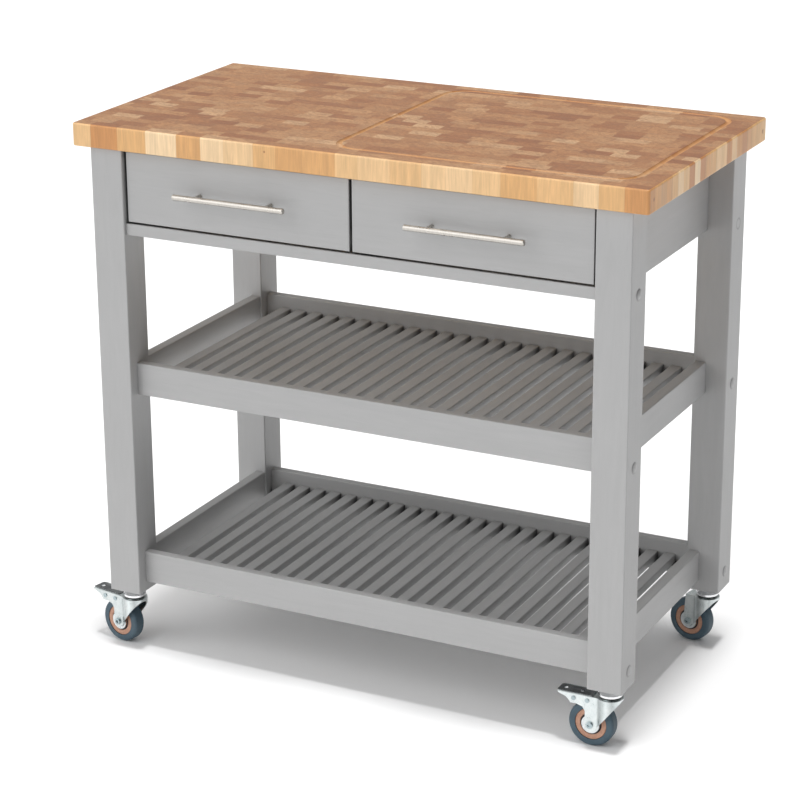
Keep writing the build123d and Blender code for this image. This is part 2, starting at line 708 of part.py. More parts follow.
def caster_stem():
    """Kingpin, upper race and threaded stem in one turned piece; it stays with the leg."""
    flange_z = PLATE_Z0 - 0.5
    r = STEM_R
    points = [
        (0, flange_z - KINGPIN_FLANGE_T),
        (KINGPIN_FLANGE_R - 1, flange_z - KINGPIN_FLANGE_T),
        (KINGPIN_FLANGE_R, flange_z - KINGPIN_FLANGE_T + 1),
        (KINGPIN_FLANGE_R, flange_z),
        (r, flange_z),
        (r, RACE_Z0),
        (RACE_R - 3, RACE_Z0),
        (RACE_R, RACE_Z0 + 2.5),
        (RACE_R, RACE_Z0 + 6),
        (COLLAR_R, RACE_Z1),
        (COLLAR_R, LEG_Z0),
        (r, LEG_Z0),
        (r, STEM_TOP - 1),
        (r - 1, STEM_TOP),
        (0, STEM_TOP),
    ]
    return turned(points)


def at_caster(name, shape):
    """Turns a caster part to its trail direction and sets it under its leg."""
    side, depth = LEG_PLACES[name]
    turn = 180.0 - CASTER_TURN[name]
    return Pos(side * LEG_X, depth * LEG_Y, 0) * Rot(0, 0, turn) * shape


# ------------------------------------------------------------------ all nodes


def build_nodes():
    """Every node's shape, by name."""
    nodes = {"worktop": worktop()}
    for name, (side, depth) in LEG_PLACES.items():
        nodes[f"leg_{name}"] = leg(side, depth)
    nodes["apron_left"] = side_apron(-1)
    nodes["apron_right"] = side_apron(1)
    nodes["apron_back"] = back_apron()
    nodes["drawer_rail"] = drawer_rail()
    nodes["drawer_divider"] = drawer_divider()
    nodes["cabinet_glides"] = cabinet_glides()
    for level, top in SHELF_TOPS.items():
        nodes[f"{level}_shelf_front_rail"] = shelf_rail(-1, top)
        nodes[f"{level}_shelf_back_rail"] = shelf_rail(1, top)
        nodes[f"{level}_shelf_left_rail"] = shelf_side_rail(-1, top)
        nodes[f"{level}_shelf_right_rail"] = shelf_side_rail(1, top)
        nodes[f"{level}_shelf_slats"] = shelf_slats(top)
    nodes["shelf_cleats"] = shelf_cleats()
    nodes["bolt_caps"] = bolt_caps()
    nodes["frame_bolts"] = frame_bolts()
    nodes["top_brackets"] = top_brackets()
    inner, outer = drawer_sides()
    drawer = {
        "front": drawer_front(),
        "inner_side": inner,
        "outer_side": outer,
        "back": drawer_back(),
        "bottom": drawer_bottom(),
        "glides": drawer_glides(),
        "handle": handle(),
        "handle_screws": handle_screws(),
    }
    for piece, shape in drawer.items():
        for side, placed in both_sides(shape).items():
            nodes[f"drawer_{side}_{piece}"] = placed
    nodes["caster_stems"] = group(at_caster(name, caster_stem()) for name in LEG_PLACES)
    for name in LEG_PLACES:
        braked = name in BRAKED
        nodes[f"fork_{name}"] = at_caster(name, fork(braked))
        nodes[f"axle_set_{name}"] = at_caster(name, axle_set(braked))
        nodes[f"hub_{name}"] = at_caster(name, wheel_hub())
        nodes[f"tyre_{name}"] = at_caster(name, tyre())
        if braked:
            nodes[f"brake_pedal_{name}"] = at_caster(name, brake_pedal())
    return nodes


os.makedirs("parts", exist_ok=True)
for node_name, node_shape in build_nodes().items():
    export_step(node_shape, f"parts/{node_name}.step")
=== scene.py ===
import json
import math

import bmesh
import bpy
from mathutils import Matrix, Vector

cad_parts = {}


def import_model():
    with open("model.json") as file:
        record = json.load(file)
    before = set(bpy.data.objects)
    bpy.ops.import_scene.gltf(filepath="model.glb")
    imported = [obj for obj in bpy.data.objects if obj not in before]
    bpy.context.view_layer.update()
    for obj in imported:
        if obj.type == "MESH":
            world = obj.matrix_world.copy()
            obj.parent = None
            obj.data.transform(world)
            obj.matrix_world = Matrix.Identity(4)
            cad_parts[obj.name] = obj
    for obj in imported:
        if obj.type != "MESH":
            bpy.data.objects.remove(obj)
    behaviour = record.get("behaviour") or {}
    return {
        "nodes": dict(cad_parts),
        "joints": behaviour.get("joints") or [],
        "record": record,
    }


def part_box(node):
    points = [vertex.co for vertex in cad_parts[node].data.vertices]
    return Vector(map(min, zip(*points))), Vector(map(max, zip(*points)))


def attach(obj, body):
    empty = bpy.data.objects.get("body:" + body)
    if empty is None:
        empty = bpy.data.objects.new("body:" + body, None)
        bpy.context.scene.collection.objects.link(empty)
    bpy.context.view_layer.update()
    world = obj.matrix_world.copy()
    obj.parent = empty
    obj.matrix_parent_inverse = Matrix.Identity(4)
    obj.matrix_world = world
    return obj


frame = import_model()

# Looks of a kitchen island cart: end-grain butcher block, grey painted wood, brushed
# nickel pulls and zinc-plated casters. Metres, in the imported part's own frame.

NODES = frame["nodes"]
BODIES = frame["record"]["behaviour"]["bodies"]
CASTERS = ("front_left", "front_right", "back_left", "back_right")
WORKTOP_LOW, WORKTOP_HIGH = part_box("worktop")
LEG_LOW, LEG_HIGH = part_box("leg_back_right")

# --- butcher block
ROW = 0.0232
BLOCK = 0.048
BLOCK_SHIFT = 5 * BLOCK
BLOCK_WARP = 0.040
SEAM = 0.0003
SEAM_DARKENS = 0.24
PITH_SPREAD_X = 0.12
PITH_SPREAD_Y = 0.10
RING_RADIANS_PER_M = 2400.0
RING_WOBBLE = 9.0
END_GRAIN_DEPTH = 0.0006
GROOVE_REACH_X = WORKTOP_HIGH.x - 0.013
GROOVE_REACH_Y = WORKTOP_HIGH.y - 0.014
GROOVE_SHADE_AMOUNT = 0.7
STAIN_COLOUR = (0.245, 0.098, 0.040)
GROOVE_SHADE_COLOUR = (0.47, 0.225, 0.085)
GLUE_COLOUR = (0.30, 0.16, 0.08)
KNOT_COLOUR = (0.24, 0.085, 0.03)
# each knot's centre and radius
KNOTS = (
    ((WORKTOP_HIGH.x, WORKTOP_LOW.y + 0.018, WORKTOP_LOW.z + 0.0201), 0.0036),
    ((WORKTOP_HIGH.x, WORKTOP_HIGH.y - 0.018, WORKTOP_LOW.z + 0.0181), 0.0045),
    ((-0.140, WORKTOP_LOW.y, WORKTOP_LOW.z + 0.0271), 0.0022),
)

# --- painted frame, its round bolt caps, and the painted shade in its gaps and round the caps
PAINT_DARK = (0.360, 0.360, 0.361)
PAINT_LIGHT = (0.386, 0.386, 0.386)
SHADE_REACH = 0.022
CAP_R = 0.009
CAP_RIM_R = 0.0086
CAP_RIM_WIDE = 0.0024
CAPS_LOW, CAPS_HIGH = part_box("bolt_caps")
SHELF_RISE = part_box("upper_shelf_slats")[0].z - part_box("lower_shelf_slats")[0].z
CAP_HEIGHTS = (CAPS_LOW.z + CAP_R, CAPS_LOW.z + CAP_R + SHELF_RISE, CAPS_HIGH.z - CAP_R)
CAP_Y = (LEG_LOW.y + LEG_HIGH.y) / 2
CAP_FACE_X = LEG_HIGH.x - 0.0005

# --- casters: offsets along the axle from the wheel's middle, and the section of the black rings of painted shade in the hubs' grooves
GUARD_FACE = 0.0124
GUARD_FACE_END = 0.0128
FORK_SHADE_REACH = 0.010
SHADE_RING_R = 0.0165
SHADE_RING_DEEP = 0.0014
SHADE_RING_WIDE = 0.00125
SHADE_RING_OFFSET = 0.0084
SHADE_RING_POINTS = 10
SHADE_RING_STEPS = 96

# --- stage: brightness of the surround, and suns with their angles in degrees
FLOOR_HALF = 30.0
FLOOR_COLOURS = ((0.93, 0.93, 0.932), (0.94, 0.94, 0.942))
SKY_HORIZON = 0.22
SKY_OVERHEAD = 0.62
SKY_LEFT = 1.35
SKY_RIGHT = 0.45
SKY_FULL_HEIGHT = 0.8
KEY_SUN = {"azimuth": 58.0, "elevation": 86.2, "strength": 2.2, "angle": 8.0}
FILL_SUN = {"azimuth": -30.0, "elevation": 28.0, "strength": 1.3, "angle": 60.0}

# --- camera: angles in degrees, lens and sensor in millimetres
CAMERA_AT = (1.7535, -3.5299, 1.8352)
CAMERA_AZIMUTH = 27.179
CAMERA_ELEVATION = 19.291
CAMERA_ROLL = -0.432
CAMERA_LENS = 113.57
CAMERA_SENSOR = 36.0
CAMERA_SHIFT = (0.01454, -0.01086)


# ------------------------------------------------------------------ shader helpers


class Nodes:
    """Short ways to add and link the nodes of a tree."""

    def __init__(self, tree):
        self.tree = tree

    def add(self, kind, **settings):
        node = self.tree.nodes.new(kind)
        for key, value in settings.items():
            setattr(node, key, value)
        return node

    def feed(self, socket, value):
        """Links an output, or sets a plain value."""
        if isinstance(value, bpy.types.NodeSocket):
            self.tree.links.new(value, socket)
        else:
            socket.default_value = value

    def math(self, operation, a, b=0.0, c=0.0):
        node = self.add("ShaderNodeMath", operation=operation)
        for socket, value in zip(node.inputs, (a, b, c)):
            self.feed(socket, value)
        return node.outputs[0]

    def vector_math(self, operation, vector, fixed):
        """The node that combines vector with a fixed one."""
        node = self.add("ShaderNodeVectorMath", operation=operation)
        self.feed(node.inputs[0], vector)
        node.inputs[1].default_value = tuple(fixed)
        return node

    def split(self, vector):
        node = self.add("ShaderNodeSeparateXYZ")
        self.feed(node.inputs[0], vector)
        return node.outputs

    def join(self, x, y, z=0.0):
        node = self.add("ShaderNodeCombineXYZ")
        for socket, value in zip(node.inputs, (x, y, z)):
            self.feed(socket, value)
        return node.outputs[0]

    def stretch(self, vector, x, y, z):
        """vector times (x, y, z)."""
        return self.vector_math("MULTIPLY", vector, (x, y, z)).outputs[0]

    def noise(self, vector, scale=1.0, detail=4.0, roughness=0.5, distortion=0.0):
        node = self.add("ShaderNodeTexNoise")
        self.feed(node.inputs["Vector"], vector)
        node.inputs["Scale"].default_value = scale
        node.inputs["Detail"].default_value = detail
        node.inputs["Roughness"].default_value = roughness
        node.inputs["Distortion"].default_value = distortion
        return node.outputs["Fac"]

    def random(self, vector):
        node = self.add("ShaderNodeTexWhiteNoise", noise_dimensions="3D")
        self.feed(node.inputs["Vector"], vector)
        return node.outputs["Value"]

    def remap(self, value, low, high, to_low, to_high):
        node = self.add("ShaderNodeMapRange")
        for socket, given in zip(node.inputs, (value, low, high, to_low, to_high)):
            self.feed(socket, given)
        return node.outputs[0]

    def ramp(self, value, stops):
        node = self.add("ShaderNodeValToRGB")
        ramp = node.color_ramp
        while len(ramp.elements) < len(stops):
            ramp.elements.new(0.5)
        for element, (position, colour) in zip(ramp.elements, stops):
            element.position = position
            element.color = (*colour, 1.0)
        self.feed(node.inputs[0], value)
        return node.outputs["Color"]

    def mix(self, factor, a, b, blend="MIX"):
        node = self.add("ShaderNodeMix", data_type="RGBA", blend_type=blend)
        self.feed(node.inputs[0], factor)
        for socket, value in ((node.inputs[6], a), (node.inputs[7], b)):
            self.feed(socket, (*value, 1.0) if isinstance(value, tuple) else value)
        return node.outputs[2]

    def shade(self, colour, factor):
        """colour times a grey factor."""
        return self.mix(1.0, colour, self.join(factor, factor, factor), "MULTIPLY")


class Shader(Nodes):
    """A new material, with its principled shader as surface."""

    def __init__(self, name):
        self.material = bpy.data.materials.new(name)
        self.material.use_nodes = True
        super().__init__(self.material.node_tree)
        self.surface = self.tree.nodes["Principled BSDF"]

    def place(self):
        """The point being shaded, in metres, which stays with the piece."""
        return self.add("ShaderNodeTexCoord").outputs["Object"]

    def normal(self):
        """The surface direction, which stays with the piece."""
        return self.add("ShaderNodeTexCoord").outputs["Normal"]

    def nearby(self, distance):
        """1 in the open, falling to 0 in gaps and corners."""
        node = self.add("ShaderNodeAmbientOcclusion", samples=8)
        node.inputs["Distance"].default_value = distance
        return node.outputs["AO"]

    def bump(self, height, distance, strength):
        node = self.add("ShaderNodeBump")
        node.inputs["Strength"].default_value = strength
        node.inputs["Distance"].default_value = distance
        self.feed(node.inputs["Height"], height)
        self.feed(self.surface.inputs["Normal"], node.outputs[0])

    def finish(self, colour, roughness, metallic=0.0, coat=0.0, coat_roughness=0.1):
        s = self.surface.inputs
        self.feed(s["Base Color"], (*colour, 1.0) if isinstance(colour, tuple) else colour)
        self.feed(s["Roughness"], roughness)
        s["Metallic"].default_value = metallic
        s["Coat Weight"].default_value = coat
        s["Coat Roughness"].default_value = coat_roughness
        return self.material


def along(axis, long_scale, cross_scale):
    """Noise scales for grain that runs along an axis."""
    return tuple(long_scale if a == axis else cross_scale for a in "xyz")


# ------------------------------------------------------------------ materials


def block_pattern(s, x, y):
    """Rows of glued blocks along X, each row shifted, with uneven lengths.

    Returns each block's three random values, the place inside it, and 1 on the glue lines.
    """
    in_rows = s.math("DIVIDE", y, ROW)
    row = s.math("FLOOR", in_rows)
    shift = s.math("MULTIPLY", s.random(s.join(row, 7.0)), BLOCK_SHIFT)
    moved = s.math("ADD", x, shift)
    slow = s.join(s.math("MULTIPLY", moved, 11.0), s.math("MULTIPLY", row, 5.3))
    moved = s.math("MULTIPLY_ADD", s.noise(slow, detail=0.0), BLOCK_WARP, moved)
    in_blocks = s.math("DIVIDE", moved, BLOCK)
    column = s.math("FLOOR", in_blocks)
    chances = [s.random(s.join(column, row, seed)) for seed in (1.0, 5.0, 9.0)]

    from_middle_x = s.math("SUBTRACT", s.math("FRACT", in_blocks), 0.5)
    from_middle_y = s.math("SUBTRACT", s.math("FRACT", in_rows), 0.5)
    line_x = s.math("GREATER_THAN", s.math("ABSOLUTE", from_middle_x), 0.5 - SEAM / BLOCK)
    line_y = s.math("GREATER_THAN", s.math("ABSOLUTE", from_middle_y), 0.5 - SEAM / ROW)
    inside = (s.math("MULTIPLY", from_middle_x, BLOCK), s.math("MULTIPLY", from_middle_y, ROW))
    return chances, inside, s.math("MAXIMUM", line_x, line_y)


def growth_rings(s, place, chances, inside):
    """Rings from 0 to 1, about a pith beside each block."""
    pith_x = s.math("MULTIPLY_ADD", chances[1], PITH_SPREAD_X, -PITH_SPREAD_X / 2)
    pith_y = s.math("MULTIPLY_ADD", chances[2], PITH_SPREAD_Y, -PITH_SPREAD_Y / 2)
    dx = s.math("SUBTRACT", inside[0], pith_x)
    dy = s.math("SUBTRACT", inside[1], pith_y)
    reach = s.math("SQRT", s.math("ADD", s.math("MULTIPLY", dx, dx), s.math("MULTIPLY", dy, dy)))
    wobble = s.noise(place, scale=70.0, detail=3.0)
    phase = s.math("MULTIPLY_ADD", reach, RING_RADIANS_PER_M, s.math("MULTIPLY", wobble, RING_WOBBLE))
    return s.math("MULTIPLY_ADD", s.math("SINE", phase), 0.5, 0.5)


def end_grain(s, place, chance, rings, pores, clouds):
    """Colour of the blocks' cut ends, with rings, pores, flecks and stains."""
    colour = s.ramp(
        chance,
        [
            (0.0, (0.262, 0.104, 0.043)),
            (0.10, (0.300, 0.128, 0.053)),
            (0.30, (0.350, 0.163, 0.069)),
            (0.65, (0.395, 0.199, 0.088)),
            (0.86, (0.440, 0.240, 0.114)),
            (1.0, (0.510, 0.310, 0.164)),
        ],
    )
    colour = s.shade(colour, s.remap(rings, 0.0, 1.0, 0.93, 1.04))
    colour = s.shade(colour, s.remap(pores, 0.35, 0.65, 0.93, 1.06))
    colour = s.shade(colour, s.remap(clouds, 0.3, 0.7, 0.93, 1.08))
    flat = s.stretch(place, 1.0, 1.7, 0.3)
    flecks = s.noise(flat, scale=210.0, detail=4.0, roughness=0.65, distortion=0.8)
    stains = s.noise(flat, scale=80.0, detail=4.0, roughness=0.6, distortion=1.2)
    colour = s.shade(colour, s.remap(flecks, 0.38, 0.62, 0.80, 1.18))
    return s.mix(s.remap(stains, 0.48, 0.64, 0.0, 0.60), colour, STAIN_COLOUR)


def side_grain(s, place, chance, streaks):
    """Colour of the upright grain at the worktop's edges, with its knots."""
    colour = s.ramp(
        chance,
        [
            (0.0, (0.480, 0.200, 0.062)),
            (0.15, (0.560, 0.275, 0.096)),
            (0.40, (0.645, 0.368, 0.148)),
            (0.72, (0.710, 0.448, 0.212)),
            (1.0, (0.790, 0.580, 0.350)),
        ],
    )
    bands = s.noise(s.stretch(place, 1.0, 1.0, 0.10), scale=120.0, detail=3.0, distortion=0.6)
    colour = s.shade(colour, s.remap(streaks, 0.3, 0.7, 0.88, 1.08))
    colour = s.shade(colour, s.remap(bands, 0.3, 0.7, 0.90, 1.08))
    for centre, radius in KNOTS:
        colour = knot(s, place, colour, centre, radius)
    return colour


def in_groove(s, x, y):
    """1 inside the worktop's edges, where only the juice groove shows side grain."""
    within_x = s.math("LESS_THAN", s.math("ABSOLUTE", x), GROOVE_REACH_X)
    within_y = s.math("LESS_THAN", s.math("ABSOLUTE", y), GROOVE_REACH_Y)
    return s.math("MULTIPLY", within_x, within_y)


def butcher_block():
    """Glued blocks that show end grain on top and upright grain at the sides."""
    s = Shader("end_grain_block")
    place = s.place()
    x, y, z = s.split(place)
    chances, inside, seam = block_pattern(s, x, y)
    rings = growth_rings(s, place, chances, inside)
    pores = s.noise(s.stretch(place, 1.0, 1.0, 0.03), scale=1500.0, detail=2.0, roughness=0.7)
    clouds = s.noise(s.stretch(place, 1.0, 1.6, 0.3), scale=26.0, detail=5.0, roughness=0.6)
    streaks = s.noise(s.stretch(place, 1.0, 1.0, 0.05), scale=620.0, detail=4.0, roughness=0.65)

    end = end_grain(s, place, chances[0], rings, pores, clouds)
    side = side_grain(s, place, chances[0], streaks)
    # painted shade: the side grain inside the juice groove is mixed towards a darker orange-brown
    side = s.mix(s.math("MULTIPLY", in_groove(s, x, y), GROOVE_SHADE_AMOUNT), side, GROOVE_SHADE_COLOUR)
    top = WORKTOP_HIGH.z
    is_end = s.remap(z, top - END_GRAIN_DEPTH, top - END_GRAIN_DEPTH / 4, 0.0, 1.0)
    colour = s.mix(is_end, side, end)
    colour = s.mix(s.math("MULTIPLY", seam, SEAM_DARKENS), colour, GLUE_COLOUR)

    height = s.math("SUBTRACT", s.math("MULTIPLY", pores, 0.6), s.math("MULTIPLY", seam, 0.8))
    height = s.math("ADD", height, s.math("MULTIPLY", streaks, 0.4))
    s.bump(height, 0.00018, 0.6)
    return s.finish(colour, s.remap(clouds, 0.3, 0.7, 0.36, 0.52), coat=0.08, coat_roughness=0.3)


def knot(s, place, colour, centre, radius):
    """colour with a small dark knot at a point on the surface."""
    distance = s.vector_math("DISTANCE", place, centre).outputs["Value"]
    warp = s.noise(place, scale=260.0, detail=2.0)
    reach = s.math("MULTIPLY_ADD", warp, radius * 0.9, distance)
    core = s.remap(reach, radius * 0.8, radius * 1.6, 0.75, 0.0)
    return s.mix(core, colour, KNOT_COLOUR)


def painted_wood(axis):
    """Satin grey paint, with the wood's grain along an axis just showing through, and painted shade in
    gaps, corners and round the bolt caps.
    """
    s = Shader(f"grey_paint_{axis}")
    place = s.place()
    grain = s.noise(s.stretch(place, *along(axis, 0.035, 1.0)), scale=780.0, detail=4.0, roughness=0.6)
    figure = s.noise(s.stretch(place, *along(axis, 0.10, 1.0)), scale=75.0, detail=3.0, distortion=1.2)
    roller = s.noise(place, scale=1300.0, detail=2.0)
    patches = s.noise(place, scale=7.0, detail=4.0, roughness=0.6)
    colour = s.mix(patches, PAINT_DARK, PAINT_LIGHT)
    colour = s.shade(colour, s.remap(figure, 0.3, 0.7, 0.972, 1.022))
    colour = s.shade(colour, s.remap(grain, 0.32, 0.42, 0.95, 1.0))
    # painted shade round the rim of each bolt cap
    colour = s.shade(colour, cap_rim_shade(s, place))
    # painted shade: the paint darkens in gaps and corners, from ambient occlusion
    colour = s.shade(colour, s.remap(s.nearby(SHADE_REACH), 0.10, 0.58, 0.12, 1.0))
    rough = s.remap(s.math("ADD", patches, s.math("MULTIPLY", grain, 0.5)), 0.5, 1.0, 0.36, 0.47)
    height = s.math("MULTIPLY_ADD", figure, 0.7, s.math("MULTIPLY_ADD", roller, 0.25, grain))
    s.bump(height, 0.00010, 0.55)
    return s.finish(colour, rough, coat=0.05, coat_roughness=0.25)


def cap_rim_shade(s, place):
    """A grey factor of painted shade on the rim of each bolt cap and the leg round it."""
    x, y, z = s.split(place)
    off_y = s.math("SUBTRACT", s.math("ABSOLUTE", y), CAP_Y)
    off_y = s.math("MULTIPLY", off_y, off_y)
    near = 1.0
    for height in CAP_HEIGHTS:
        off_z = s.math("SUBTRACT", z, height)
        reach = s.math("SQRT", s.math("MULTIPLY_ADD", off_z, off_z, off_y))
        near = s.math("MINIMUM", near, reach)
    from_rim = s.math("ABSOLUTE", s.math("SUBTRACT", near, CAP_RIM_R))
    rim = s.remap(from_rim, 0.0002, CAP_RIM_WIDE, 0.62, 1.0)
    on_face = s.math("GREATER_THAN", s.math("ABSOLUTE", x), CAP_FACE_X)
    return s.math("SUBTRACT", 1.0, s.math("MULTIPLY", s.math("SUBTRACT", 1.0, rim), on_face))


def plywood(axis):
    """Pale lacquered wood of the drawer boxes."""
    s = Shader(f"drawer_ply_{axis}")
    place = s.place()
    grain = s.noise(s.stretch(place, *along(axis, 0.02, 1.0)), scale=700.0, detail=5.0, roughness=0.6)
    figure = s.noise(s.stretch(place, *along(axis, 0.08, 1.0)), scale=60.0, detail=3.0, distortion=2.0)
    colour = s.ramp(
        s.math("MULTIPLY_ADD", grain, 0.5, s.math("MULTIPLY", figure, 0.5)),
        [(0.32, (0.50, 0.33, 0.185)), (0.5, (0.66, 0.47, 0.285)), (0.68, (0.74, 0.56, 0.36))],
    )
    s.bump(grain, 0.00015, 0.6)
    return s.finish(colour, s.remap(figure, 0.3, 0.7, 0.42, 0.55))


def zinc_plate():
    """Bright, cloudy zinc plating, with painted shade on slanting faces and in gaps."""
    s = Shader("zinc_plate")
    place = s.place()
    clouds = s.noise(place, scale=55.0, detail=5.0, roughness=0.65, distortion=0.5)
    spangle = s.noise(place, scale=700.0, detail=3.0, roughness=0.6)
    lines = s.noise(s.stretch(place, 0.04, 0.04, 1.0), scale=4200.0, detail=2.0)
    colour = s.ramp(
        clouds,
        [(0.30, (0.58, 0.64, 0.64)), (0.52, (0.70, 0.75, 0.75)), (0.72, (0.80, 0.83, 0.82))],
    )
    colour = s.shade(colour, s.remap(spangle, 0.3, 0.7, 0.92, 1.04))
    # painted shade: faces turned part-way along the row's X are painted darker
    facing = s.math("ABSOLUTE", s.split(s.normal())[0])
    aslant = s.math("ABSOLUTE", s.math("SUBTRACT", facing, 0.45))
    colour = s.shade(colour, s.remap(aslant, 0.0, 0.42, 0.66, 1.0))
    # painted shade in gaps and corners, from ambient occlusion
    colour = s.shade(colour, s.remap(s.nearby(FORK_SHADE_REACH), 0.1, 0.8, 0.15, 1.0))
    wear = s.math("MULTIPLY_ADD", spangle, 0.5, s.math("MULTIPLY", clouds, 0.5))
    rough = s.remap(wear, 0.35, 0.65, 0.24, 0.38)
    s.bump(s.math("MULTIPLY_ADD", lines, 0.5, spangle), 0.00006, 0.5)
    return s.finish(colour, rough, metallic=1.0)


def axle_plate(name):
    """Grey thread guards, with whatever stands outside them on the axle darker."""
    s = Shader(f"axle_plate_{name}")
    centre, axis = wheel_axis(name)
    place = s.place()
    from_centre = s.vector_math("SUBTRACT", place, centre).outputs[0]
    along_axle = s.vector_math("DOT_PRODUCT", from_centre, axis).outputs["Value"]
    outside = s.remap(s.math("ABSOLUTE", along_axle), GUARD_FACE, GUARD_FACE_END, 0.0, 1.0)
    clouds = s.noise(place, scale=70.0, detail=5.0, roughness=0.65)
    fine = s.noise(place, scale=1300.0, detail=2.0)
    guard = s.ramp(clouds, [(0.3, (0.60, 0.63, 0.64)), (0.7, (0.74, 0.77, 0.77))])
    stud = s.ramp(clouds, [(0.3, (0.30, 0.36, 0.38)), (0.7, (0.48, 0.56, 0.58))])
    colour = s.mix(outside, guard, stud)
    s.bump(fine, 0.00005, 0.5)
    return s.finish(colour, s.remap(clouds, 0.3, 0.7, 0.24, 0.36), metallic=1.0)


def pedal_plate():
    """Brake pedal plating, glossy, with a painted dark reflection on top and brighter sides."""
    s = Shader("pedal_plate")
    place = s.place()
    smears = s.noise(s.stretch(place, 1.0, 1.0, 3.0), scale=60.0, detail=5.0, distortion=1.0)
    fine = s.noise(place, scale=1500.0, detail=2.0)
    bright = s.ramp(smears, [(0.3, (0.58, 0.60, 0.61)), (0.7, (0.74, 0.76, 0.77))])
    # painted reflection: the upward face is painted dark, as the shelf's shaded underside would show
    # in it
    dark = s.ramp(smears, [(0.3, (0.14, 0.15, 0.155)), (0.7, (0.32, 0.335, 0.34))])
    facing_up = s.remap(s.split(s.normal())[2], 0.85, 0.99, 0.0, 1.0)
    s.bump(fine, 0.00004, 0.5)
    colour = s.mix(facing_up, bright, dark)
    return s.finish(colour, s.remap(smears, 0.3, 0.7, 0.12, 0.24), metallic=1.0)


def polished_plate():
    """Smoother plating on the bolts and screws."""
    s = Shader("polished_plate")
    place = s.place()
    smears = s.noise(s.stretch(place, 1.0, 1.0, 3.0), scale=60.0, detail=5.0, distortion=1.0)
    fine = s.noise(place, scale=1500.0, detail=2.0)
    colour = s.ramp(smears, [(0.3, (0.50, 0.51, 0.52)), (0.7, (0.64, 0.65, 0.66))])
    s.bump(fine, 0.00004, 0.5)
    return s.finish(colour, s.remap(smears, 0.3, 0.7, 0.12, 0.24), metallic=1.0)


def chrome():
    """Polished plating on the swivel races."""
    s = Shader("race_chrome")
    place = s.place()
    smears = s.noise(place, scale=90.0, detail=5.0, distortion=0.8)
    colour = s.ramp(smears, [(0.3, (0.78, 0.79, 0.81)), (0.7, (0.88, 0.89, 0.90))])
    s.bump(s.noise(place, scale=900.0, detail=2.0), 0.00004, 0.5)
    return s.finish(colour, s.remap(smears, 0.3, 0.7, 0.06, 0.16), metallic=1.0)


def brushed_nickel():
    """Nickel plating with fine lines round the bar."""
    s = Shader("brushed_nickel")
    place = s.place()
    lines = s.noise(s.stretch(place, 1.0, 0.02, 0.02), scale=5200.0, detail=2.0)
    smears = s.noise(place, scale=60.0, detail=4.0)
    colour = s.ramp(lines, [(0.3, (0.43, 0.405, 0.37)), (0.7, (0.60, 0.575, 0.535))])
    colour = s.shade(colour, s.remap(smears, 0.3, 0.7, 0.94, 1.05))
    s.bump(lines, 0.00005, 0.6)
    s.surface.inputs["Anisotropic"].default_value = 0.4
    return s.finish(colour, s.remap(smears, 0.3, 0.7, 0.24, 0.36), metallic=1.0)


def hub_plastic():
    """Terracotta moulded plastic."""
    s = Shader("terracotta_plastic")
    place = s.place()
    mottle = s.noise(place, scale=160.0, detail=5.0, roughness=0.6)
    grit = s.noise(place, scale=1800.0, detail=2.0)
    colour = s.ramp(
        mottle,
        [(0.3, (0.36, 0.175, 0.115)), (0.55, (0.44, 0.235, 0.155)), (0.75, (0.50, 0.285, 0.195))],
    )
    s.bump(s.math("MULTIPLY_ADD", mottle, 0.6, grit), 0.00012, 0.5)
    return s.finish(colour, s.remap(mottle, 0.3, 0.7, 0.38, 0.55))


def tyre_rubber():
    """Slate-blue rubber, a little dusty."""
    s = Shader("slate_rubber")
    place = s.place()
    dust = s.noise(place, scale=48.0, detail=6.0, roughness=0.65)
    grit = s.noise(place, scale=1400.0, detail=3.0)
    colour = s.ramp(
        dust,
        [(0.3, (0.034, 0.064, 0.088)), (0.55, (0.050, 0.088, 0.115)), (0.75, (0.088, 0.125, 0.148))],
    )
    colour = s.shade(colour, s.remap(grit, 0.3, 0.7, 0.92, 1.06))
    s.bump(s.math("MULTIPLY_ADD", dust, 0.5, grit), 0.00018, 0.6)
    return s.finish(colour, s.remap(dust, 0.3, 0.7, 0.46, 0.66))


def shade_ring_black():
    """Near-black matte material of the rings of painted shade in the hubs' grooves."""
    s = Shader("painted_shade_black")
    place = s.place()
    grit = s.noise(place, scale=900.0, detail=3.0)
    colour = s.mix(grit, (0.010, 0.010, 0.011), (0.030, 0.029, 0.028))
    s.bump(grit, 0.00012, 0.6)
    return s.finish(colour, s.remap(grit, 0.3, 0.7, 0.55, 0.8))


def studio_floor():
    """A plain pale floor."""
    s = Shader("studio_floor")
    soft = s.noise(s.place(), scale=1.5, detail=2.0)
    colour = s.mix(soft, *FLOOR_COLOURS)
    return s.finish(colour, 0.9)


# ------------------------------------------------------------------ objects and extra pieces


def place_in_scene(name, data):
    """A new object for a mesh, light or camera."""
    obj = bpy.data.objects.new(name, data)
    bpy.context.scene.collection.objects.link(obj)
    return obj


def mesh_object(name, mesh, material):
    """A new object from a bmesh, which it frees."""
    data = bpy.data.meshes.new(name)
    mesh.to_mesh(data)
    mesh.free()
    data.materials.append(material)
    return place_in_scene(name, data)


def turned_ring(mesh, profile, centre, axis, steps):
    """Adds a closed ring to mesh: profile holds (radius, offset along the axis) points."""
    axis = axis.normalized()
    side = axis.orthogonal().normalized()
    up = axis.cross(side)
    loops = []
    for i in range(steps):
        turn = 2 * math.pi * i / steps
        out = side * math.cos(turn) + up * math.sin(turn)
        loops.append([mesh.verts.new(centre + out * r + axis * h) for r, h in profile])
    count = len(profile)
    for i in range(steps):
        a, b = loops[i], loops[(i + 1) % steps]
        for j in range(count):
            k = (j + 1) % count
            mesh.faces.new((a[j], a[k], b[k], b[j]))


def wheel_axis(name):
    """Axle centre and direction of a caster, from its joint."""
    joint = next(j for j in frame["joints"] if j["name"] == f"wheel_spin_{name}")
    return Vector(joint["pos_m"]), Vector(joint["axis"])


